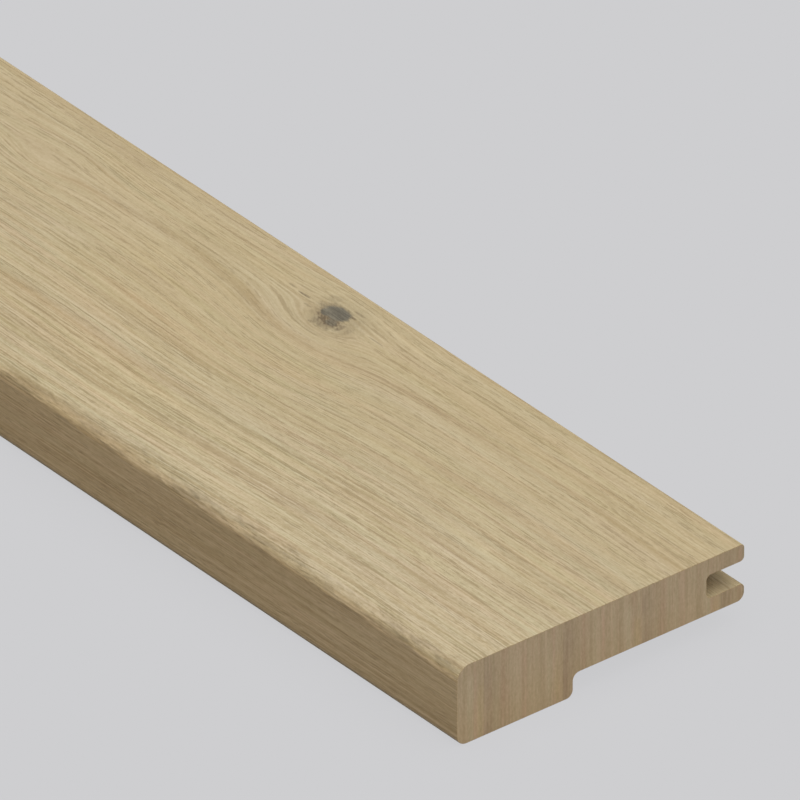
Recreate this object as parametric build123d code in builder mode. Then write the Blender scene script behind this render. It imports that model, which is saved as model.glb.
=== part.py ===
from build123d import *
import os

# Flush stair nosing: one length of solid oak that ends a wooden floor at the edge of a step.
# The front is a thick rounded nose, the underside is cut back to a seat behind it,
# and the back edge is grooved for the tongue of the floorboard that the top lies flush with.
# X runs along the board, -Y is the front of the step and +Z is up.
# The origin is the middle of the footprint, level with the underside of the nose.
# Sizes are in millimetres.

# Stock
length = 1219.2
width = 88.9

# Heights: the floor that the board is flush with, and how far the nose hangs below it
floor_thickness = 15.9
nose_drop = 6.35

# Nose, from its front face back to the face that butts against the riser
nose_depth = 35.8

# Groove for the tongue of the next floorboard, and the wood left above it
groove_height = 6.4
groove_depth = 11.7
wear_layer = 4.8

# Radii of the rounded nose and of the eased long edges
nose_top_round = 4.0
nose_bottom_round = 3.0
heel_round = 2.0
seat_inner_round = 2.0
seat_back_round = 2.2
lower_lip_round = 1.4
groove_root_round = 1.3
upper_lip_round = 1.3
top_back_round = 1.2

# Places in the section, across the board and up from the underside of the nose
front = -width / 2
back = width / 2
heel = front + nose_depth
top = nose_drop + floor_thickness
groove_root = back - groove_depth
groove_roof = top - wear_layer
groove_floor = groove_roof - groove_height

with BuildPart() as stair_nosing:
    with BuildSketch(Plane.YZ) as section:
        # The board with its nose and the seat behind it
        with BuildLine():
            Polyline(
                (front, 0),
                (heel, 0),
                (heel, nose_drop),
                (back, nose_drop),
                (back, top),
                (front, top),
                close=True,
            )
        make_face()

        # The groove, open along the whole back edge
        with Locations((back, groove_roof)):
            Rectangle(
                groove_depth,
                groove_height,
                align=(Align.MAX, Align.MAX),
                mode=Mode.SUBTRACT,
            )

        # Each corner of the section, with the radius that it is worked to
        rounded_corners = [
            (front, top, nose_top_round),
            (front, 0, nose_bottom_round),
            (heel, 0, heel_round),
            (heel, nose_drop, seat_inner_round),
            (back, nose_drop, seat_back_round),
            (back, groove_floor, lower_lip_round),
            (groove_root, groove_floor, groove_root_round),
            (groove_root, groove_roof, groove_root_round),
            (back, groove_roof, upper_lip_round),
            (back, top, top_back_round),
        ]
        for across, up, radius in rounded_corners:
            corner = section.vertices().sort_by_distance((across, up))[0]
            fillet(corner, radius)

    # The section runs unchanged from one square-sawn end to the other
    extrude(amount=length / 2, both=True)

stair_nosing.part.label = "stair_nosing"

os.makedirs("parts", exist_ok=True)
export_step(stair_nosing.part, "parts/stair_nosing.step")
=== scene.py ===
"""Flush stair nosing in light oak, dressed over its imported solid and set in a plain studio.

Lengths are in metres unless a name ends in _mm or _MM. X runs along the board, -Y is the front
of the step and +Z is up. The board lies on the underside of its nose.
"""

import math

import bpy
from bpy.props import FloatProperty, FloatVectorProperty, IntProperty, PointerProperty
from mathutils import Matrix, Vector


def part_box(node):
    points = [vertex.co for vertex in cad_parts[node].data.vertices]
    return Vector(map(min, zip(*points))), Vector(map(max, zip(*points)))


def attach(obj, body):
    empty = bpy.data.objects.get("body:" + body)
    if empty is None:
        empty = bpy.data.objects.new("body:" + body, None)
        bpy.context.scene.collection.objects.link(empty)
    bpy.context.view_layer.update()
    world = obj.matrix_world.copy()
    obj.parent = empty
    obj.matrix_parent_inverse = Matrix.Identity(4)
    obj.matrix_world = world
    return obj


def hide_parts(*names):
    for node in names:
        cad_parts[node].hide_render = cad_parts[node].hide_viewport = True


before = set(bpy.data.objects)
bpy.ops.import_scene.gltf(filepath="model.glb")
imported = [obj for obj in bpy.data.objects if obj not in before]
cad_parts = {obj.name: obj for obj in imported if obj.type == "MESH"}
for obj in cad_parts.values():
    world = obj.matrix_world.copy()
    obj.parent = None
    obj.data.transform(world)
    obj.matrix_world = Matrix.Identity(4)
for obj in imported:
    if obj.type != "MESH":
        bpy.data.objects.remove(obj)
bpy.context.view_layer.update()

BOARD_LOW, BOARD_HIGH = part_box("stair_nosing")
BOARD_SIZE = BOARD_HIGH - BOARD_LOW

bl_info = {
    "name": "Flush Stair Nosing",
    "version": (1, 0, 0),
    "blender": (4, 5, 0),
    "location": "View3D > Sidebar > Stair Nosing",
    "description": "Models a flush stair nosing in light oak and the studio that shows it",
    "category": "Add Mesh",
}

MM = 0.001
IMAGE_WIDTH_PX = 800
SENSOR_WIDTH_MM = 36.0

# Height on the sawn end that the camera's aim is measured from
END_MIDDLE_HEIGHT = 11.0 * MM

# The floor lies a little under the board, so that the two don't flicker where they would touch
FLOOR_GAP = 0.05 * MM
FLOOR_SIZE = 60.0
LAMP_HEIGHT = 3.0

# The board is this many times shorter while its map is made
MAP_SHORTENING = 4.0


# Settings that a user would change

class NosingSizes(bpy.types.PropertyGroup):
    """Sizes of the board and its section"""

    length: FloatProperty(
        name="Length", description="Length of the board", default=BOARD_SIZE.x, unit="LENGTH"
    )
    width: FloatProperty(
        name="Width", description="Front face to back edge", default=BOARD_SIZE.y, unit="LENGTH"
    )
    height: FloatProperty(
        name="Nose Height", description="Underside of the nose to the top",
        default=BOARD_SIZE.z, unit="LENGTH",
    )
    nose_drop: FloatProperty(
        name="Nose Drop", description="How far the nose hangs below the seat",
        default=6.35 * MM, unit="LENGTH",
    )
    nose_depth: FloatProperty(
        name="Nose Depth", description="Front face to the face that butts the riser",
        default=35.8 * MM, unit="LENGTH",
    )
    groove_height: FloatProperty(
        name="Groove Height", description="Height of the groove in the back edge",
        default=6.4 * MM, unit="LENGTH",
    )
    groove_depth: FloatProperty(
        name="Groove Depth", description="Depth of the groove in the back edge",
        default=11.7 * MM, unit="LENGTH",
    )
    wear_layer: FloatProperty(
        name="Wear Layer", description="Wood left above the groove",
        default=4.8 * MM, unit="LENGTH",
    )
    nose_top_round: FloatProperty(
        name="Nose Top Round", description="Radius of the nose at the top",
        default=4.0 * MM, unit="LENGTH",
    )
    nose_bottom_round: FloatProperty(
        name="Nose Bottom Round", description="Radius of the nose at the bottom",
        default=3.0 * MM, unit="LENGTH",
    )
    heel_round: FloatProperty(
        name="Heel Round", description="Radius of the nose at its lower back corner",
        default=2.0 * MM, unit="LENGTH",
    )
    seat_inner_round: FloatProperty(
        name="Seat Inner Round", description="Radius in the corner of nose and seat",
        default=2.0 * MM, unit="LENGTH",
    )
    seat_back_round: FloatProperty(
        name="Seat Back Round", description="Radius of the lower lip at its underside",
        default=2.2 * MM, unit="LENGTH",
    )
    lower_lip_round: FloatProperty(
        name="Lower Lip Round", description="Radius of the lower lip inside the groove's mouth",
        default=1.4 * MM, unit="LENGTH",
    )
    groove_root_round: FloatProperty(
        name="Groove Root Round", description="Radius in the corners of the groove",
        default=1.3 * MM, unit="LENGTH",
    )
    upper_lip_round: FloatProperty(
        name="Upper Lip Round", description="Radius of the upper lip inside the groove's mouth",
        default=1.3 * MM, unit="LENGTH",
    )
    top_back_round: FloatProperty(
        name="Top Back Round", description="Radius of the top at the back edge",
        default=1.2 * MM, unit="LENGTH",
    )
    sawn_arris: FloatProperty(
        name="Sawn Arris", description="Sanding of the sharp edge around each sawn end",
        default=0.15 * MM, unit="LENGTH",
    )
    round_steps: IntProperty(
        name="Round Steps", description="Facets in each rounded corner", default=8, min=2, max=24
    )


class OakFinish(bpy.types.PropertyGroup):
    """Colours and figure of the oak"""

    light: FloatVectorProperty(
        name="Light Wood", description="Palest fibres of the top", subtype="COLOR",
        size=3, default=(0.602, 0.497, 0.313),
    )
    dark: FloatVectorProperty(
        name="Dark Wood", description="Darkest streaks of the top", subtype="COLOR",
        size=3, default=(0.427, 0.329, 0.180),
    )
    pore: FloatVectorProperty(
        name="Pores", description="Open pores and fine cracks", subtype="COLOR",
        size=3, default=(0.300, 0.225, 0.125),
    )
    knot_heart: FloatVectorProperty(
        name="Knot Heart", description="Grey filled heart of the knot", subtype="COLOR",
        size=3, default=(0.191, 0.168, 0.121),
    )
    knot_bark: FloatVectorProperty(
        name="Knot Bark", description="Brown wood around the knot", subtype="COLOR",
        size=3, default=(0.160, 0.116, 0.067),
    )
    end_light: FloatVectorProperty(
        name="Light End", description="Palest streaks of the sawn ends", subtype="COLOR",
        size=3, default=(0.596, 0.457, 0.295),
    )
    end_dark: FloatVectorProperty(
        name="Dark End", description="Darkest streaks of the sawn ends", subtype="COLOR",
        size=3, default=(0.480, 0.357, 0.215),
    )
    knot_from_end: FloatProperty(
        name="Knot From End", description="Knot to the right-hand end",
        default=140.9 * MM, unit="LENGTH",
    )
    knot_from_back: FloatProperty(
        name="Knot From Back", description="Knot to the back edge", default=13.2 * MM, unit="LENGTH"
    )
    wander: FloatProperty(
        name="Wander", description="How far the grain sways from side to side",
        default=3.0 * MM, unit="LENGTH",
    )
    # The edge tint is partly the browner side grain and partly painted warm shade on the faces that don't
    # look up
    side_tint_and_shade: FloatVectorProperty(
        name="Edge Tint", description="Change of colour on the faces that don't look up",
        size=3, default=(0.00, -0.105, -0.205),
    )
    band_width: FloatProperty(
        name="Band Width", description="Width of the bands on the sawn ends",
        default=24.4 * MM, unit="LENGTH",
    )
    band_seam: FloatProperty(
        name="Band Seam", description="Place of one edge between bands, from the middle of the width",
        default=12.7 * MM, unit="LENGTH",
    )


class StudioSettings(bpy.types.PropertyGroup):
    """Floor, light and camera"""

    floor_colour: FloatVectorProperty(
        name="Floor", description="Colour of the floor", subtype="COLOR",
        size=3, default=(0.617, 0.617, 0.631),
    )
    floor_bounce: FloatProperty(
        name="Floor Bounce", description="How much light the floor gives back to the board",
        default=0.385, min=0.0, max=1.0, subtype="FACTOR",
    )
    shadow_share: FloatProperty(
        name="Shadow Share", description="How much of the lamp's shadow the floor shows",
        default=0.07, min=0.0, max=1.0, subtype="FACTOR",
    )
    sky_strength: FloatProperty(
        name="Sky Strength", description="Even light from all around", default=0.21, min=0.0
    )
    lamp_strength: FloatProperty(
        name="Lamp Strength", description="Light of the overhead lamp", default=2.53, min=0.0
    )
    lamp_spread: FloatProperty(
        name="Lamp Spread", description="Width of the overhead lamp in the sky",
        default=math.radians(85.0), subtype="ANGLE",
    )
    lamp_to_end: FloatProperty(
        name="Lamp To End", description="Lean of the overhead lamp towards the right-hand end",
        default=math.radians(14.0), subtype="ANGLE",
    )
    lamp_to_back: FloatProperty(
        name="Lamp To Back", description="Lean of the overhead lamp towards the back edge",
        default=math.radians(0.5), subtype="ANGLE",
    )
    camera_azimuth: FloatProperty(
        name="Azimuth", description="Camera's turn from the front towards the right-hand end",
        default=math.radians(50.9919), subtype="ANGLE",
    )
    camera_elevation: FloatProperty(
        name="Elevation", description="Camera's height above level",
        default=math.radians(32.2553), subtype="ANGLE",
    )
    camera_distance: FloatProperty(
        name="Distance", description="Camera to the sawn end", default=7.8006, unit="LENGTH"
    )
    focal_px: FloatProperty(
        name="Focal Length", description="Focal length in pixels of the image", default=32578.7
    )
    aim_right: FloatProperty(
        name="Aim Right", description="Centre of the image, right of the middle of the sawn end",
        default=-48.144 * MM, unit="LENGTH",
    )
    aim_up: FloatProperty(
        name="Aim Up", description="Centre of the image, above the middle of the sawn end",
        default=58.793 * MM, unit="LENGTH",
    )


# Small helpers for node trees

def feed(tree, socket, value):
    """Links a socket, or sets a plain value, on an input."""
    if isinstance(value, bpy.types.NodeSocket):
        tree.links.new(value, socket)
    else:
        socket.default_value = value


def calc(tree, operation, first, second=0.0, third=0.0, clamp=False):
    """One Math node; returns its result."""
    node = tree.nodes.new("ShaderNodeMath")
    node.operation = operation
    node.use_clamp = clamp
    feed(tree, node.inputs[0], first)
    feed(tree, node.inputs[1], second)
    feed(tree, node.inputs[2], third)
    return node.outputs[0]


def product(tree, first, *others):
    """All the values multiplied together."""
    for other in others:
        first = calc(tree, "MULTIPLY", first, other)
    return first


def clamped(tree, value):
    """A value kept between 0 and 1."""
    return calc(tree, "MULTIPLY", value, 1.0, clamp=True)


def weighted_sum(tree, start, *pairs):
    """start plus each value times its weight."""
    for value, weight in pairs:
        start = calc(tree, "MULTIPLY_ADD", value, weight, start)
    return start


def vector_calc(tree, operation, first, second):
    """One Vector Math node; returns its vector."""
    node = tree.nodes.new("ShaderNodeVectorMath")
    node.operation = operation
    feed(tree, node.inputs[0], first)
    feed(tree, node.inputs[1], second)
    return node.outputs["Vector"]


def split(tree, vector):
    """The three parts of a vector."""
    node = tree.nodes.new("ShaderNodeSeparateXYZ")
    feed(tree, node.inputs[0], vector)
    return node.outputs


def join(tree, x, y, z):
    """A vector from three parts."""
    node = tree.nodes.new("ShaderNodeCombineXYZ")
    feed(tree, node.inputs[0], x)
    feed(tree, node.inputs[1], y)
    feed(tree, node.inputs[2], z)
    return node.outputs[0]


def noise(tree, vector, detail=1.0, roughness=0.5):
    """Smooth noise with cells of one unit, 0 to 1 about a half."""
    node = tree.nodes.new("ShaderNodeTexNoise")
    node.inputs["Scale"].default_value = 1.0
    node.inputs["Detail"].default_value = detail
    node.inputs["Roughness"].default_value = roughness
    feed(tree, node.inputs["Vector"], vector)
    return node.outputs["Fac"]


def cells(tree, place, along, across, detail=1.0, roughness=0.5):
    """Smooth noise whose cells have a length along the board and a width across it."""
    scaled = vector_calc(tree, "MULTIPLY", place, (1 / along, 1 / across, 1 / across))
    return noise(tree, scaled, detail, roughness)


def smooth_range(tree, value, low, high, to_low=0.0, to_high=1.0):
    """A smooth step from to_low to to_high as value goes from low to high."""
    node = tree.nodes.new("ShaderNodeMapRange")
    node.interpolation_type = "SMOOTHSTEP"
    feed(tree, node.inputs["Value"], value)
    feed(tree, node.inputs["From Min"], low)
    feed(tree, node.inputs["From Max"], high)
    feed(tree, node.inputs["To Min"], to_low)
    feed(tree, node.inputs["To Max"], to_high)
    return node.outputs["Result"]


def blend_value(tree, factor, first, second):
    """Mixes two values by a factor."""
    return calc(tree, "MULTIPLY_ADD", calc(tree, "SUBTRACT", second, first), factor, first)


def blend_vector(tree, factor, first, second):
    """Mixes two vectors by a factor."""
    node = tree.nodes.new("ShaderNodeMix")
    node.data_type = "VECTOR"
    feed(tree, node.inputs["Factor"], factor)
    feed(tree, node.inputs[4], first)
    feed(tree, node.inputs[5], second)
    return node.outputs[1]


def blend_colour(tree, factor, first, second):
    """Mixes two colours by a factor."""
    node = tree.nodes.new("ShaderNodeMix")
    node.data_type = "RGBA"
    feed(tree, node.inputs["Factor"], factor)
    for socket, colour in ((node.inputs[6], first), (node.inputs[7], second)):
        feed(tree, socket, colour if isinstance(colour, bpy.types.NodeSocket) else (*colour, 1.0))
    return node.outputs[2]


def tinted(tree, colour, amount, tint):
    """A colour multiplied by 1 plus an amount of a tint."""
    scale = tree.nodes.new("ShaderNodeVectorMath")
    scale.operation = "SCALE"
    scale.inputs[0].default_value = tint
    feed(tree, scale.inputs["Scale"], amount)
    change = vector_calc(tree, "ADD", scale.outputs[0], (1.0, 1.0, 1.0))
    return vector_calc(tree, "MULTIPLY", colour, change)


# Shader groups; the places that they take are in mm

VECTOR, FLOAT = "NodeSocketVector", "NodeSocketFloat"
ORIGIN = (0.0, 0.0, 0.0)


def new_group(name, output, output_kind, inputs):
    """An empty shader group with named sockets; returns it with what it is given and its result."""
    tree = bpy.data.node_groups.new(name, "ShaderNodeTree")
    for label, default in inputs.items():
        kind = VECTOR if isinstance(default, tuple) else FLOAT
        socket = tree.interface.new_socket(name=label, in_out="INPUT", socket_type=kind)
        socket.default_value = default
    tree.interface.new_socket(name=output, in_out="OUTPUT", socket_type=output_kind)
    given = tree.nodes.new("NodeGroupInput").outputs
    return tree, given, tree.nodes.new("NodeGroupOutput").inputs[output]


def use_group(tree, group, **values):
    """Places a group in a tree, sets its inputs by name and returns its outputs."""
    node = tree.nodes.new("ShaderNodeGroup")
    node.node_tree = group
    for label, value in values.items():
        feed(tree, node.inputs[label.replace("_", " ")], value)
    return node.outputs


def parting_group():
    """Bends straight grain round a knot or an eye."""
    inputs = {
        "Place": ORIGIN, "Knot": ORIGIN,
        "Push": 10.8, "Core": 9.0, "Spread": 8.5, "Reach": 30.0, "Share Behind": 0.4,
    }
    tree, given, result = new_group("Grain Parting", "Flow", VECTOR, inputs)
    along, across, _ = split(tree, vector_calc(tree, "SUBTRACT", given["Place"], given["Knot"]))
    core = product(tree, given["Core"], given["Core"])
    push = product(tree, given["Push"], given["Push"], across)
    push = calc(tree, "DIVIDE", push, calc(tree, "MULTIPLY_ADD", across, across, core))
    spread = calc(tree, "MULTIPLY_ADD", calc(tree, "ABSOLUTE", across), 0.7, given["Spread"])
    sideways = calc(tree, "DIVIDE", along, spread)
    outwards = calc(tree, "DIVIDE", across, given["Reach"])
    apart = calc(tree, "MULTIPLY_ADD", sideways, sideways, product(tree, outwards, outwards))
    fade = calc(tree, "EXPONENT", product(tree, apart, -0.5))
    share = smooth_range(tree, across, -3.0, 3.0, given["Share Behind"], 1.0)
    shift = join(tree, 0.0, product(tree, push, fade, share), 0.0)
    feed(tree, result, vector_calc(tree, "SUBTRACT", given["Place"], shift))
    return tree


def fibre_group():
    """Fibres drawn out along the grain: noise with one length along it and a pitch across it."""
    inputs = {"Flow": ORIGIN, "Run": 40.0, "Pitch": 1.0, "Seed": 0.0}
    tree, given, result = new_group("Fibre", "Tone", FLOAT, inputs)
    along, across, up = split(tree, given["Flow"])
    drawn = join(
        tree,
        calc(tree, "ADD", calc(tree, "DIVIDE", along, given["Run"]), given["Seed"]),
        calc(tree, "DIVIDE", across, given["Pitch"]),
        calc(tree, "DIVIDE", up, given["Pitch"]),
    )
    feed(tree, result, calc(tree, "SUBTRACT", noise(tree, drawn), 0.5))
    return tree


def growth_line_group():
    """One growth line that follows the grain at a distance from the back, between two places."""
    inputs = {
        "Flow": ORIGIN, "From Back": 20.0, "Width": 1.2, "Start": 0.0, "Stop": 300.0, "Fade": 30.0,
    }
    tree, given, result = new_group("Growth Line", "Mask", FLOAT, inputs)
    along, across, _ = split(tree, given["Flow"])
    off = calc(tree, "DIVIDE", calc(tree, "SUBTRACT", across, given["From Back"]), given["Width"])
    ridge = calc(tree, "EXPONENT", product(tree, off, off, -0.5))
    before = calc(tree, "SUBTRACT", given["Start"], given["Fade"])
    beyond = calc(tree, "ADD", given["Stop"], given["Fade"])
    begin = smooth_range(tree, along, before, given["Start"])
    end = smooth_range(tree, along, given["Stop"], beyond, 1.0, 0.0)
    feed(tree, result, product(tree, ridge, begin, end))
    return tree


def oval_group():
    """A ragged oval spot: 1 inside it and 0 outside, soft at its edge, and gone deep below the top."""
    inputs = {
        "Place": ORIGIN, "Middle": ORIGIN,
        "Along": 4.0, "Across": 3.0, "Ragged": 0.5, "Soft": 0.25,
    }
    tree, given, result = new_group("Oval Spot", "Mask", FLOAT, inputs)
    along, across, above = split(tree, vector_calc(tree, "SUBTRACT", given["Place"], given["Middle"]))
    sideways = calc(tree, "DIVIDE", along, given["Along"])
    outwards = calc(tree, "DIVIDE", across, given["Across"])
    length = tree.nodes.new("ShaderNodeVectorMath")
    length.operation = "LENGTH"
    feed(tree, length.inputs[0], join(tree, sideways, outwards, 0.0))
    torn = cells(tree, given["Place"], 2.4, 1.1, 3.0, 0.6)
    ragged = product(tree, calc(tree, "SUBTRACT", torn, 0.5), product(tree, given["Ragged"], 4.0))
    radius = calc(tree, "ADD", length.outputs["Value"], ragged)
    inner = calc(tree, "SUBTRACT", 1.0, given["Soft"])
    outer = calc(tree, "ADD", 1.0, given["Soft"])
    spot = smooth_range(tree, radius, inner, outer, 1.0, 0.0)
    feed(tree, result, product(tree, spot, smooth_range(tree, above, -14.0, -6.0)))
    return tree


# What the materials are made with

def bare_material(name):
    """A material without a shader; returns it, its tree and the socket of its surface."""
    material = bpy.data.materials.new(name)
    material.use_nodes = True
    tree = material.node_tree
    tree.nodes.clear()
    return material, tree, tree.nodes.new("ShaderNodeOutputMaterial").inputs["Surface"]


def oak_material(name):
    """A material with one Principled shader; also the place in mm, and the way that the surface faces."""
    material, tree, surface = bare_material(name)
    shader = tree.nodes.new("ShaderNodeBsdfPrincipled")
    tree.links.new(shader.outputs["BSDF"], surface)
    coordinates = tree.nodes.new("ShaderNodeTexCoord")
    place_mm = vector_calc(tree, "MULTIPLY", coordinates.outputs["Object"], (1 / MM, 1 / MM, 1 / MM))
    return material, tree, shader, place_mm, coordinates.outputs["Normal"]


def add_bump(tree, shader, height_mm):
    """Relief of the given height on the shader's normal."""
    bump = tree.nodes.new("ShaderNodeBump")
    bump.inputs["Distance"].default_value = MM
    feed(tree, bump.inputs["Height"], height_mm)
    tree.links.new(bump.outputs["Normal"], shader.inputs["Normal"])


def fibre_tone(tree, groups, flow, kind):
    """One kind of fibre along a flow, as a tone about 0."""
    run, pitch, seed = kind
    return use_group(tree, groups["fibre"], Flow=flow, Run=run, Pitch=pitch, Seed=seed)["Tone"]


def line_mask(tree, groups, flow, from_back, width, start, stop, fade):
    """Where one growth line, band or streak runs."""
    return use_group(
        tree, groups["growth_line"],
        Flow=flow, From_Back=from_back, Width=width, Start=start, Stop=stop, Fade=fade,
    )["Mask"]


# The level of a material lies between its dark and its light wood: 0 is dark and 1 is light
MID_TONE = 0.5

# Tones of the long grain, in mm: how far each runs along the grain, its pitch across it, and its seed
LONG_GRAIN_MM = {
    "hairs": (3.4, 0.4, 37.9),
    "fibres": (24.0, 0.44, 23.4),
    "lines": (30.0, 0.46, 11.7),
    "specks": (0.9, 0.45, 92.6),
    "long lines": (120.0, 0.5, 3.1),
    "bands": (220.0, 5.5, 83.1),
    "mottle": (9.0, 3.4, 41.2),
    "side fibres": (44.0, 0.4, 27.3),
    "side lines": (70.0, 0.6, 52.6),
    "side bands": (160.0, 1.0, 66.4),
    "pink patches": (48.0, 2.4, 71.9),
    "yellow patches": (50.0, 3.0, 15.6),
    "dents": (4.5, 2.0, 88.2),
    "waves": (22.0, 7.0, 64.3),
    "scratches": (2.0, 0.5, 29.9),
    "heart streaks": (6.0, 0.5, 45.5),
}

# Tints of the long grain, as shares of red, green and blue
LONG_GRAIN_TINTS = {
    "tan band": (-0.004, -0.012, -0.045),
    "growth line": (0.012, -0.012, 0.01),
    "pink patches": (0.066, -0.048, 0.018),
    "yellow patches": (0.058, 0.0, -0.115),
    "back edge": (-0.04, -0.06, -0.11),
    "pale end": (0.03, 0.045, 0.08),
    # Painted highlight: the upper rounds are painted paler, in blotches
    "round highlight": (0.055, 0.06, 0.06),
    # Painted shade: the rounds that turn down are painted darker
    "lower round shade": (-0.3, -0.27, -0.2),
    "heart": (1.5, 1.5, 1.5),
}

# How much of an effect a place of the long grain has, as a product of smooth steps. A step goes by the mm
# from the end or from the back, or by how far the surface faces up, from 1 down to -1. The numbers are
# where it starts and stops, and then its values there unless they are 0 and 1
SHARES = {
    "rise": [("from_end", 45.0, 150.0, 3.8, 0.0), ("from_back", 5.0, 55.0, 0.35, 1.0)],
    "hairs": [("from_end", 90.0, 190.0, 0.85, 0.5)],
    "short fibres": [("from_back", 25.0, 90.0, 0.78, 1.28)],
    "long fibres": [("from_back", 25.0, 90.0, 0.36, 1.0)],
    "top": [("upward", 0.3, 0.9)],
    "pores": [("upward", 0.0, 0.5, 0.28, 0.36)],
    "patches": [("upward", 0.0, 0.5, 0.4, 1.0), ("from_back", 5.0, 60.0, 0.7, 1.1)],
    "back edge": [("from_back", 1.0, 4.0, 1.0, 0.0)],
    "pale end": [("from_end", 0.0, 240.0, 1.0, 0.0), ("from_back", 5.0, 80.0)],
    # The edges share carries the edge tint: side grain's brown and painted warm shade on faces that don't
    # look up
    "edges": [("upward", 0.15, 0.95, 1.0, 0.0)],
    # Where the painted highlight lies: the upper rounds, between the top and the faces below
    "round highlight": [("upward", 0.05, 0.35), ("upward", 0.6, 0.85, 1.0, 0.0)],
    # Where the painted shade lies: the rounds that turn down, not the flat underside
    "lower round shade": [("upward", -0.99, -0.93), ("upward", -0.5, -0.2, 1.0, 0.0)],
    "nose round": [("upward", 0.0, 0.3), ("from_back", 82.5, 85.5)],
}

# An eye left of the knot, from the end and from the back, and how the grain parts round it
EYE_MM = (243.0, 20.0)
EYE_PARTING = {"Push": 7.0, "Core": 7.0, "Spread": 8.0, "Reach": 12.0, "Share_Behind": 0.8}

# How far the fine fibres follow the parted grain, how dark the growth lines are, and the knot's scratches
FINE_SHARE = 0.85
LINE_DARKNESS = 0.74
SCRATCH_SLANT = (0.78, 0.62)

# Growth lines of the top: from the back, half width, start and stop from the end, fade, and how dark
GROWTH_LINES_MM = [
    (20.9, 0.55, 0, 26, 12, 0.48),
    (20.1, 0.5, 30, 100, 14, 0.4),
    (19.9, 0.75, 128, 160, 16, 0.42),
    (20.8, 0.9, 163, 180, 10, 0.34),
    (19.3, 0.8, 184, 200, 10, 0.36),
    (21.6, 0.6, 213, 228, 10, 0.34),
    (1.5, 1, 26, 48, 14, 0.45),
    (5.6, 1.6, 225, 246, 10, 0.34),
    (15.7, 0.35, 222, 236, 8, 0.34),
    (15, 0.3, 40, 112, 20, 0.26),
    (14.6, 0.28, 172, 200, 10, 0.34),
    (38.2, 0.6, 54, 78, 10, 0.34),
    (39.6, 1.4, 0, 24, 14, 0.24),
    (41.2, 0.35, 34, 90, 14, 0.28),
    (44.2, 0.35, 36, 60, 10, 0.34),
    (36.6, 0.9, 162, 198, 14, 0.22),
    (45.7, 0.35, 66, 160, 14, 0.34),
    (44.1, 0.35, 168, 200, 12, 0.28),
    (48.4, 0.5, 70, 150, 16, 0.3),
    (48.4, 0.95, 150, 196, 16, 0.22),
    (50, 0.4, 0, 60, 12, 0.4),
    (51.3, 0.3, 0, 26, 10, 0.32),
    (51, 0.35, 62, 112, 14, 0.26),
    (55.8, 0.3, 106, 176, 16, 0.28),
    (60.7, 0.5, 22, 108, 16, 0.42),
    (61.6, 1, 116, 240, 14, 0.36),
    (62.5, 0.3, 60, 110, 14, 0.26),
    (65.1, 0.35, 48, 66, 8, 0.36),
    (64.8, 0.3, 112, 160, 14, 0.28),
    (65.2, 0.4, 188, 215, 8, 0.44),
    (73.8, 0.55, 30, 112, 14, 0.44),
    (73.2, 0.6, 116, 220, 14, 0.42),
    (75.2, 0.32, 48, 190, 16, 0.34),
    (77.6, 0.35, 95, 190, 14, -0.34),
    (87.8, 0.4, 40, 168, 10, 0.46),
    (86.4, 0.35, 84, 134, 14, 0.26),
    (82.3, 0.3, 0, 50, 12, 0.3),
    (84.3, 0.3, 0, 80, 12, 0.26),
]

# Tan bands between the greyer wood: from the back, half width, start and stop from the end, fade, strength
TAN_BANDS_MM = [
    (13, 3.6, 0, 112, 26, 1),
    (11.5, 3.2, 166, 232, 12, 1),
    (28, 4, 128, 190, 16, 0.9),
    (40, 3.6, 60, 104, 18, 0.9),
    (41, 6.5, 130, 200, 18, 1),
    (47, 2.4, 0, 24, 10, 0.8),
    (67, 3.4, 100, 210, 20, 1),
]

# Spots of the knot, from its middle: along, across, half length, half width and strength
KNOT_GREY_MM = [
    (1.2, -2.3, 4.1, 2.7, 1),
    (3.2, -0.9, 2, 1.5, 0.95),
    (-1, 1.4, 1.7, 1.2, 0.6),
]
KNOT_BROWN_MM = [
    (-0.6, -0.8, 9.5, 8.5, 0.16),
    (0.4, 2, 4.5, 3.2, 0.62),
    (4.6, 1.2, 2.4, 2.6, 0.3),
    (-4.9, -2.6, 2.2, 2.4, 0.26),
    (-0.1, 1.2, 3.9, 2, 0.9),
    (2, -2.2, 5.8, 3.7, 0.52),
    (2.6, 0.6, 2.4, 1.3, 0.85),
    (-5.2, 0.6, 3, 2.8, 0.3),
    (-4.4, 1.3, 1, 1.7, 0.62),
    (-6.8, 0.8, 0.8, 1.6, 0.42),
    (-2.8, -4, 1.6, 0.45, 0.9),
    (6.8, -6.2, 2, 1.4, 0.28),
    (-2.6, -6.3, 2, 0.4, 0.45),
    (13, -1.6, 2.2, 0.28, 0.66),
    (18.1, -2.1, 1.6, 0.32, 0.4),
    (8.7, 0.8, 1.4, 0.32, 0.42),
    (-14.4, -1.6, 2.8, 0.24, 0.42),
]


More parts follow.
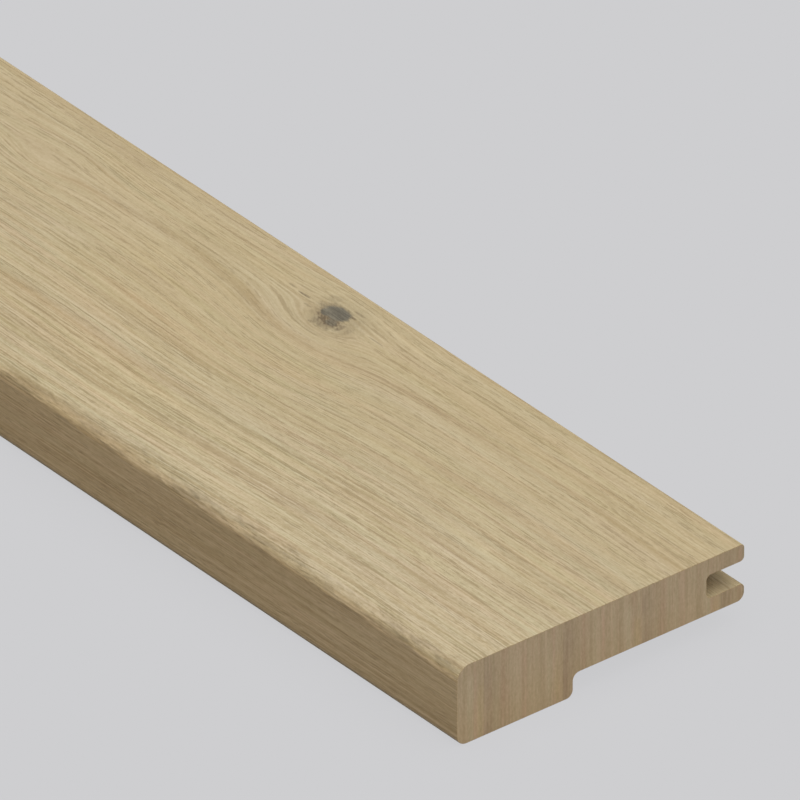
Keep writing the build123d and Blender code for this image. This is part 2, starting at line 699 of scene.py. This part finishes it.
class LongGrain:
    """Planed oak along the grain: bands, streaks, fibres and pores, with one knot."""

    def __init__(self, finish, groups):
        self.material, self.tree, self.shader, place, facing = oak_material("oak_long_grain")
        self.finish = finish
        self.groups = groups
        x, y, z = split(self.tree, place)
        self.from_end = calc(self.tree, "SUBTRACT", BOARD_HIGH.x / MM, x)
        self.from_back = calc(self.tree, "SUBTRACT", BOARD_HIGH.y / MM, y)
        self.place = join(self.tree, self.from_end, self.from_back, z)
        self.upward = split(self.tree, facing)[2]
        self.knot_mm = (finish.knot_from_end / MM, finish.knot_from_back / MM, BOARD_HIGH.z / MM)
        self.bend_grain()
        self.hairs = self.tone("hairs", self.fine_flow)
        self.fibres = self.tone("fibres", self.fine_flow)
        self.lines = self.tone("lines", self.fine_flow)
        self.specks = self.tone("specks", self.place)
        self.dents = self.tone("dents", self.place)

    def tone(self, name, flow):
        """One kind of fibre along a flow, as a tone about 0."""
        return fibre_tone(self.tree, self.groups, flow, LONG_GRAIN_MM[name])

    def share(self, name):
        """How much of an effect each place has."""
        return product(self.tree, *(
            smooth_range(self.tree, getattr(self, measure), *steps) for measure, *steps in SHARES[name]
        ))

    def tint(self, colour, name, *amounts):
        """The colour with one of the tints, by an amount or by the product of some."""
        return tinted(self.tree, colour, product(self.tree, *amounts), LONG_GRAIN_TINTS[name])

    def bend_grain(self):
        """The grain rises towards the right-hand end, sways, and parts round the knot and an eye."""
        tree = self.tree
        sway_mm = self.finish.wander / MM
        sway = weighted_sum(
            tree, -0.66 * sway_mm,
            (cells(tree, self.place, 90.0, 30.0), sway_mm),
            (cells(tree, self.place, 26.0, 8.0), 0.2 * sway_mm),
            (cells(tree, self.place, 4.5, 1.8), 0.12 * sway_mm),
        )
        aside = calc(tree, "ADD", self.share("rise"), sway)
        bent = vector_calc(tree, "ADD", self.place, join(tree, 0.0, aside, 0.0))
        parting = self.groups["parting"]
        eye_mm = (*EYE_MM, BOARD_HIGH.z / MM)
        flow = use_group(tree, parting, Place=bent, Knot=eye_mm, **EYE_PARTING)["Flow"]
        self.flow = use_group(tree, parting, Place=flow, Knot=self.knot_mm)["Flow"]
        self.fine_flow = blend_vector(tree, FINE_SHARE, bent, self.flow)

    def top_level(self):
        """How light the top is: calm towards the back edge, and with stronger grain towards the nose."""
        tree = self.tree
        short_fibres = weighted_sum(
            tree, 0.0, (self.hairs, self.share("hairs")), (self.fibres, 1.6), (self.specks, 0.7)
        )
        long_fibres = weighted_sum(tree, 0.0, (self.lines, 1.15), (self.tone("long lines", self.flow), 0.9))
        return weighted_sum(
            tree, MID_TONE,
            (short_fibres, self.share("short fibres")),
            (long_fibres, self.share("long fibres")),
            (self.tone("bands", self.flow), 0.06),
            (self.tone("mottle", self.flow), 0.08),
        )

    def side_level(self):
        """How light the faces are that don't look up: they have straighter grain of their own."""
        return weighted_sum(
            self.tree, MID_TONE, (self.hairs, 1.0), (self.specks, 0.4),
            (self.tone("side fibres", self.place), 1.75),
            (self.tone("side lines", self.place), 0.8),
            (self.tone("side bands", self.place), 0.55),
        )

    def growth_lines(self):
        """How much the growth lines darken. They are made of the same fibres, so they are as uneven."""
        tree = self.tree
        lines = 0.0
        for *place_mm, depth in GROWTH_LINES_MM:
            mask = line_mask(tree, self.groups, self.flow, *place_mm)
            lines = calc(tree, "MULTIPLY_ADD", mask, depth, lines)
        uneven = weighted_sum(tree, 1.0, (self.fibres, 1.6), (self.lines, 1.8))
        return product(tree, lines, LINE_DARKNESS, uneven)

    def open_pores(self):
        """Where the short dark pores are."""
        hollows = weighted_sum(self.tree, 0.0, (self.hairs, -0.7), (self.lines, -1.05), (self.fibres, -0.3))
        return smooth_range(self.tree, hollows, 0.12, 0.23)

    def add_patches(self, colour, darkness):
        """Tan bands, pinkish and yellow patches, the warmer back edge and the paler front of the end."""
        for *place_mm, strength in TAN_BANDS_MM:
            mask = line_mask(self.tree, self.groups, self.flow, *place_mm)
            colour = self.tint(colour, "tan band", mask, strength)
        colour = self.tint(colour, "growth line", darkness)
        patches = self.share("patches")
        for name in ("pink patches", "yellow patches"):
            colour = self.tint(colour, name, self.tone(name, self.flow), patches)
        for name in ("back edge", "pale end"):
            colour = self.tint(colour, name, self.share(name))
        return colour

    def add_edges(self, colour):
        """Edges and underside are a deeper brown, partly their side grain and partly painted warm shade;
        upper rounds take a painted highlight in blotches, and lower ones painted shade.
        """
        # Faces that don't look up take a browner tint: partly their side grain, partly painted warm shade
        colour = tinted(self.tree, colour, self.share("edges"), self.finish.side_tint_and_shade)
        # Painted highlight on the upper rounds, broken into blotches
        blotches = weighted_sum(self.tree, 1.0, (self.dents, 5.0))
        colour = self.tint(colour, "round highlight", self.share("round highlight"), blotches)
        # Painted shade on the rounds that turn down
        return self.tint(colour, "lower round shade", self.share("lower round shade"))

    def knot_spots(self, spots, ragged, soft):
        """One mask for a list of oval spots round the knot."""
        along_mm, across_mm, up_mm = self.knot_mm
        covered = 0.0
        for along, across, half_length, half_width, strength in spots:
            mask = use_group(
                self.tree, self.groups["oval"],
                Place=self.place, Middle=(along_mm + along, across_mm + across, up_mm),
                Along=half_length, Across=half_width, Ragged=ragged, Soft=soft,
            )["Mask"]
            covered = calc(self.tree, "MAXIMUM", covered, product(self.tree, mask, strength))
        return covered

    def add_knot(self, colour):
        """The knot's brown part is scratched across at a slant, and its grey heart is streaked along."""
        tree = self.tree
        turn, lean = SCRATCH_SLANT
        slant = join(
            tree,
            weighted_sum(tree, 0.0, (self.from_end, -turn), (self.from_back, lean)),
            weighted_sum(tree, 0.0, (self.from_end, lean), (self.from_back, turn)),
            0.0,
        )
        marks = weighted_sum(tree, 0.94, (self.hairs, 0.8), (self.tone("scratches", slant), 1.2))
        brown = self.knot_spots(KNOT_BROWN_MM, 0.3, 0.35)
        brown = clamped(tree, product(tree, brown, marks))
        colour = blend_colour(tree, brown, colour, self.finish.knot_bark)
        streaks = weighted_sum(tree, 0.08, (self.tone("heart streaks", self.place), 1.1), (marks, -0.2))
        heart = self.tint(join(tree, *self.finish.knot_heart), "heart", streaks)
        return blend_colour(tree, self.knot_spots(KNOT_GREY_MM, 0.14, 0.2), colour, heart)

    def relief_mm(self, pores):
        """Height of the surface: its fibres and pores, and the uneven upper round of the nose."""
        tree = self.tree
        waves = weighted_sum(tree, 0.0, (self.tone("waves", self.place), 3.0), (self.dents, 0.7))
        uneven = product(tree, waves, self.share("nose round"))
        fine = ((self.lines, 0.06), (self.fibres, 0.06), (self.hairs, 0.04), (pores, -0.03))
        return weighted_sum(tree, uneven, *fine)

    def finished(self):
        """Joins the parts in the shader and returns the material."""
        tree = self.tree
        darkness = self.growth_lines()
        top = calc(tree, "SUBTRACT", self.top_level(), darkness)
        level = blend_value(tree, self.share("top"), self.side_level(), top)
        colour = blend_colour(tree, clamped(tree, level), self.finish.dark, self.finish.light)
        pores = self.open_pores()
        colour = blend_colour(tree, product(tree, pores, self.share("pores")), colour, self.finish.pore)
        colour = self.add_patches(colour, darkness)
        colour = self.add_edges(colour)
        colour = self.add_knot(colour)
        feed(tree, self.shader.inputs["Base Color"], colour)
        feed(tree, self.shader.inputs["Roughness"], weighted_sum(tree, 0.62, (self.fibres, 0.3)))
        self.shader.inputs["Specular IOR Level"].default_value = 0.25
        add_bump(tree, self.shader, self.relief_mm(pores))
        return self.material


# Streaks of the sawn ends: from the seam, half width, lower and upper end, and their tint
END_STREAKS_MM = [
    (0.7, 1.4, -5, 30, (-0.11, -0.13, -0.11)),
    (3.4, 0.9, -5, 30, (-0.03, -0.03, -0.03)),
    (6.3, 0.7, -5, 30, (0.02, -0.03, -0.01)),
    (9.4, 0.8, -5, 30, (0.02, 0.03, 0.03)),
    (12.4, 0.6, -5, 30, (0.02, -0.025, -0.01)),
    (15.2, 1.2, -5, 30, (0.03, 0.03, 0.03)),
    (20.2, 0.8, -5, 17, (0.06, 0.1, 0.12)),
    (21.7, 0.4, -5, 30, (0.02, -0.02, 0.01)),
    (22.8, 0.9, -5, 13, (0.04, 0.03, -0.02)),
]

# Tones of the sawn ends, in mm: how far each runs up the end, its pitch across it, and its seed
SAWN_END_MM = {
    "streaks": (60.0, 1.5, 5.3),
    "lines": (30.0, 0.7, 17.1),
    "mottle": (2.2, 0.6, 29.7),
    "specks": (0.8, 0.5, 33.8),
    "pink": (20.0, 1.2, 61.3),
}

# Tints of the sawn ends, as shares of red, green and blue
SAWN_END_TINTS = {
    "pink": (0.05, -0.05, 0.0),
    "low down": (0.0, -0.03, -0.10),
    "back rim": (-0.18, -0.13, -0.13),
}


def end_grain_material(finish, groups):
    """Sawn end of the oak: upright streaks of grey, pink and ochre, in bands of even width."""
    material, tree, shader, place, _ = oak_material("oak_sawn_end")
    x, y, z = split(tree, place)
    band_mm = finish.band_width / MM
    from_seam = calc(tree, "DIVIDE", calc(tree, "ADD", y, 10 * band_mm - finish.band_seam / MM), band_mm)
    in_band = product(tree, calc(tree, "FRACT", from_seam), band_mm)
    upright = join(tree, z, y, x)
    banded = join(tree, z, in_band, x)

    def tone(name, flow=upright):
        return fibre_tone(tree, groups, flow, SAWN_END_MM[name])

    lines = tone("lines")
    mottle = tone("mottle")
    specks = tone("specks")
    streaks = tone("streaks", banded)
    level = weighted_sum(tree, MID_TONE, (streaks, 0.9), (lines, 1.3), (mottle, 1.1), (specks, 1.0))
    colour = blend_colour(tree, clamped(tree, level), finish.end_dark, finish.end_light)

    # The same streaks come back in each band, each time a little stronger or weaker
    for from_seam_mm, width, low, high, tint in END_STREAKS_MM:
        mask = line_mask(tree, groups, banded, from_seam_mm, width, low, high, fade=3.0)
        unequal = fibre_tone(tree, groups, upright, (8.0, 5.0, from_seam_mm))
        strength = weighted_sum(tree, 1.0, (unequal, 3.0))
        colour = tinted(tree, colour, product(tree, mask, strength), tint)

    # The end is pinker in places, yellower low down, and darker at its back rim
    colour = tinted(tree, colour, tone("pink"), SAWN_END_TINTS["pink"])
    colour = tinted(tree, colour, smooth_range(tree, z, 0.0, 20.0, 1.0, 0.0), SAWN_END_TINTS["low down"])
    colour = tinted(tree, colour, smooth_range(tree, y, 43.3, 44.3), SAWN_END_TINTS["back rim"])
    feed(tree, shader.inputs["Base Color"], colour)
    shader.inputs["Specular IOR Level"].default_value = 0.2
    shader.inputs["Roughness"].default_value = 0.75
    add_bump(tree, shader, weighted_sum(tree, 0.0, (lines, 0.04), (mottle, 0.05), (specks, 0.03)))
    return material


# Modelling helpers

def deselect_all():
    """Nothing selected, in object mode."""
    if bpy.context.mode != "OBJECT":
        bpy.ops.object.mode_set(mode="OBJECT")
    bpy.ops.object.select_all(action="DESELECT")


def select_where(piece, kind, test):
    """In edit mode, selects the vertices, edges or faces of the piece that pass a test on their corners."""
    bpy.ops.mesh.select_all(action="DESELECT")
    bpy.ops.object.mode_set(mode="OBJECT")
    mesh = piece.data
    for item in getattr(mesh, kind):
        if kind == "vertices":
            corners = [item.co]
        else:
            corners = [mesh.vertices[v].co for v in item.vertices]
        item.select = test(corners)
    bpy.ops.object.mode_set(mode="EDIT")


def near(value, target):
    """Is a length at a target, to a fiftieth of a millimetre?"""
    return abs(value - target) < MM / 50


# Operators

class NOSING_OT_board(bpy.types.Operator):
    """Model the board from its section and give it its oak finish"""

    bl_idname = "nosing.board"
    bl_label = "Add Stair Nosing"

    def execute(self, context):
        size = context.scene.nosing_sizes
        piece = self.add_end_face(context, size)
        self.shape_section(piece, size)
        self.draw_out(piece, size)
        self.add_finish(context, piece, size)
        self.unwrap(piece)
        self.shade(piece)
        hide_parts("stair_nosing")
        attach(piece, "root")
        return {"FINISHED"}

    @staticmethod
    def add_end_face(context, size):
        """A flat piece as wide and high as the board, where its right-hand end will be."""
        middle = (size.length / 2, 0.0, size.height / 2)
        deselect_all()
        bpy.ops.mesh.primitive_plane_add(size=1.0, location=middle, rotation=(0.0, math.pi / 2, 0.0))
        piece = context.active_object
        piece.name = "nosing_board"
        piece.data.name = "nosing_board"
        bpy.ops.object.transform_apply(location=True, rotation=True, scale=False)
        bpy.ops.object.mode_set(mode="EDIT")
        bpy.ops.mesh.select_mode(type="VERT")
        bpy.ops.mesh.select_all(action="SELECT")
        bpy.ops.transform.resize(value=(1.0, size.width, size.height), center_override=middle)
        return piece

    @staticmethod
    def shape_section(piece, size):
        """Cuts the seat and the groove out of the end face, and rounds its corners."""
        end = size.length / 2
        front, back = -size.width / 2, size.width / 2
        heel = front + size.nose_depth
        root = back - size.groove_depth
        roof = size.height - size.wear_layer
        floor = roof - size.groove_height

        # The face is cut at each step of the section, and the seat and the groove come out
        for across in (heel, root):
            bpy.ops.mesh.select_all(action="SELECT")
            bpy.ops.mesh.bisect(plane_co=(end, across, 0.0), plane_no=(0.0, 1.0, 0.0))
        for up in (size.nose_drop, floor, roof):
            bpy.ops.mesh.select_all(action="SELECT")
            bpy.ops.mesh.bisect(plane_co=(end, 0.0, up), plane_no=(0.0, 0.0, 1.0))

        def cut_away(corners):
            middle = sum(corners, Vector()) / len(corners)
            in_seat = middle.y > heel and middle.z < size.nose_drop
            in_groove = middle.y > root and floor < middle.z < roof
            return in_seat or in_groove

        bpy.ops.mesh.select_mode(type="FACE")
        select_where(piece, "polygons", cut_away)
        bpy.ops.mesh.delete(type="FACE")
        bpy.ops.mesh.select_all(action="SELECT")
        bpy.ops.mesh.dissolve_limited(angle_limit=math.radians(1.0))

        # Each corner of the section, with the radius that it is worked to
        rounded_corners = [
            (front, size.height, size.nose_top_round),
            (front, 0.0, size.nose_bottom_round),
            (heel, 0.0, size.heel_round),
            (heel, size.nose_drop, size.seat_inner_round),
            (back, size.nose_drop, size.seat_back_round),
            (back, floor, size.lower_lip_round),
            (root, floor, size.groove_root_round),
            (root, roof, size.groove_root_round),
            (back, roof, size.upper_lip_round),
            (back, size.height, size.top_back_round),
        ]
        bpy.ops.mesh.select_mode(type="VERT")
        for across, up, radius in rounded_corners:
            select_where(piece, "vertices", lambda c: near(c[0].y, across) and near(c[0].z, up))
            bpy.ops.mesh.bevel(affect="VERTICES", offset=radius, segments=size.round_steps, profile=0.5)

    @staticmethod
    def draw_out(piece, size):
        """Draws the section out to the other end, and sands the sharp edge around each sawn end."""
        end = size.length / 2
        bpy.ops.mesh.select_mode(type="FACE")
        bpy.ops.mesh.select_all(action="SELECT")
        bpy.ops.mesh.extrude_region_move(TRANSFORM_OT_translate={"value": (-size.length, 0.0, 0.0)})
        bpy.ops.mesh.select_all(action="SELECT")
        bpy.ops.mesh.normals_make_consistent(inside=False)
        bpy.ops.mesh.select_mode(type="EDGE")
        select_where(piece, "edges", lambda c: near(abs(c[0].x), end) and near(c[0].x, c[1].x))
        bpy.ops.mesh.bevel(
            affect="EDGES", offset=size.sawn_arris, segments=2, profile=0.5, clamp_overlap=False
        )

    @staticmethod
    def add_finish(context, piece, size):
        """The two ends take the sawn finish, the rest the planed one."""
        finish = context.scene.oak_finish
        groups = {
            "parting": parting_group(),
            "fibre": fibre_group(),
            "growth_line": growth_line_group(),
            "oval": oval_group(),
        }
        piece.data.materials.append(LongGrain(finish, groups).finished())
        piece.data.materials.append(end_grain_material(finish, groups))
        bpy.ops.mesh.select_mode(type="FACE")
        select_where(piece, "polygons", lambda c: all(near(abs(v.x), size.length / 2) for v in c))
        piece.active_material_index = 1
        bpy.ops.object.material_slot_assign()

    @staticmethod
    def unwrap(piece):
        """A map for baking, made of a shortened board: the pattern needs more room across the grain."""
        bpy.ops.mesh.select_all(action="SELECT")
        bpy.ops.transform.resize(value=(1 / MAP_SHORTENING, 1.0, 1.0), center_override=(0.0, 0.0, 0.0))
        bpy.ops.uv.smart_project(angle_limit=math.radians(66.0), island_margin=0.004)
        bpy.ops.transform.resize(value=(MAP_SHORTENING, 1.0, 1.0), center_override=(0.0, 0.0, 0.0))
        bpy.ops.object.mode_set(mode="OBJECT")
        piece.data.uv_layers.active.name = "OFBake"

    @staticmethod
    def shade(piece):
        """The flats are shaded flat, and only the rounds turn the light."""
        bpy.ops.object.shade_smooth_by_angle(angle=math.radians(30.0))
        bpy.ops.object.modifier_add(type="WEIGHTED_NORMAL")
        flats = piece.modifiers[-1]
        flats.weight = 100
        flats.keep_sharp = True
        bpy.ops.object.modifier_apply(modifier=flats.name)


class NOSING_OT_studio(bpy.types.Operator):
    """Set up the floor, the light and the camera"""

    bl_idname = "nosing.studio"
    bl_label = "Set Up Studio"

    def execute(self, context):
        studio = context.scene.nosing_studio
        deselect_all()
        bpy.ops.mesh.primitive_plane_add(size=FLOOR_SIZE, location=(0.0, 0.0, -FLOOR_GAP))
        floor = context.active_object
        floor.name = "studio_floor"
        floor.data.materials.append(self.floor_material(studio))
        self.add_lamp(context, studio)
        self.add_sky(context, studio)
        self.add_camera(context, studio)
        context.scene.view_settings.view_transform = "Standard"
        return {"FINISHED"}

    @staticmethod
    def shown(tree):
        """1 for the rays that show the backdrop: from the camera, a mirror or glass."""
        path = tree.nodes.new("ShaderNodeLightPath").outputs
        direct = calc(tree, "MAXIMUM", path["Is Camera Ray"], path["Is Glossy Ray"])
        return calc(tree, "MAXIMUM", direct, path["Is Transmission Ray"])

    def floor_material(self, studio):
        """An even pale floor that keeps a faint share of the shadow on it."""
        material, tree, surface = bare_material("studio_floor")
        shown = self.shown(tree)
        matt = tree.nodes.new("ShaderNodeBsdfDiffuse")
        bounce = blend_colour(tree, shown, (studio.floor_bounce,) * 3, studio.floor_colour)
        feed(tree, matt.inputs["Color"], bounce)
        even = tree.nodes.new("ShaderNodeEmission")
        even.inputs["Color"].default_value = (*studio.floor_colour, 1.0)
        mix = tree.nodes.new("ShaderNodeMixShader")
        feed(tree, mix.inputs[0], product(tree, shown, 1.0 - studio.shadow_share))
        tree.links.new(matt.outputs[0], mix.inputs[1])
        tree.links.new(even.outputs[0], mix.inputs[2])
        tree.links.new(mix.outputs[0], surface)
        return material

    @staticmethod
    def add_lamp(context, studio):
        """One wide soft lamp overhead, far off, leaned a little to the end and to the back."""
        lean = (-studio.lamp_to_back, studio.lamp_to_end, 0.0)
        bpy.ops.object.light_add(type="SUN", location=(0.0, 0.0, LAMP_HEIGHT), rotation=lean)
        lamp = context.active_object
        lamp.name = "overhead_lamp"
        lamp.data.energy = studio.lamp_strength
        lamp.data.angle = studio.lamp_spread

    def add_sky(self, context, studio):
        """Even light from all around, which shows itself in the colour of the floor."""
        world = bpy.data.worlds.new("studio_sky")
        context.scene.world = world
        world.use_nodes = True
        tree = world.node_tree
        sky = tree.nodes["Background"]
        light = (studio.sky_strength,) * 3
        feed(tree, sky.inputs["Color"], blend_colour(tree, self.shown(tree), light, studio.floor_colour))

    @staticmethod
    def add_camera(context, studio):
        """A long lens, far off, that looks at the right-hand end from above."""
        azimuth, elevation = studio.camera_azimuth, studio.camera_elevation
        look = Vector((
            -math.sin(azimuth) * math.cos(elevation),
            math.cos(azimuth) * math.cos(elevation),
            -math.sin(elevation),
        ))
        right = Vector((math.cos(azimuth), math.sin(azimuth), 0.0))
        up = right.cross(look)
        end_middle = Vector((BOARD_HIGH.x, 0.0, END_MIDDLE_HEIGHT))
        aim = end_middle + right * studio.aim_right + up * studio.aim_up
        bpy.ops.object.camera_add(
            location=aim - look * studio.camera_distance,
            rotation=look.to_track_quat("-Z", "Y").to_euler(),
        )
        camera = context.active_object
        camera.name = "studio_camera"
        camera.data.sensor_width = SENSOR_WIDTH_MM
        camera.data.lens = SENSOR_WIDTH_MM * studio.focal_px / IMAGE_WIDTH_PX
        context.scene.camera = camera


class NOSING_PT_panel(bpy.types.Panel):
    """Stair nosing tools"""

    bl_idname = "NOSING_PT_panel"
    bl_label = "Stair Nosing"
    bl_space_type = "VIEW_3D"
    bl_region_type = "UI"
    bl_category = "Stair Nosing"

    def draw(self, context):
        for name in ("nosing_sizes", "oak_finish", "nosing_studio"):
            group = getattr(context.scene, name)
            box = self.layout.box()
            for prop in group.bl_rna.properties:
                if prop.identifier not in ("rna_type", "name"):
                    box.prop(group, prop.identifier)
        self.layout.operator(NOSING_OT_board.bl_idname)
        self.layout.operator(NOSING_OT_studio.bl_idname)


CLASSES = (
    NosingSizes, OakFinish, StudioSettings, NOSING_OT_board, NOSING_OT_studio, NOSING_PT_panel
)


def register():
    for cls in CLASSES:
        bpy.utils.register_class(cls)
    bpy.types.Scene.nosing_sizes = PointerProperty(type=NosingSizes)
    bpy.types.Scene.oak_finish = PointerProperty(type=OakFinish)
    bpy.types.Scene.nosing_studio = PointerProperty(type=StudioSettings)


def unregister():
    del bpy.types.Scene.nosing_studio
    del bpy.types.Scene.oak_finish
    del bpy.types.Scene.nosing_sizes
    for cls in reversed(CLASSES):
        bpy.utils.unregister_class(cls)


def main():
    """Builds the board and its studio."""
    register()
    bpy.ops.nosing.board()
    bpy.ops.nosing.studio()


if __name__ == "__main__":
    main()
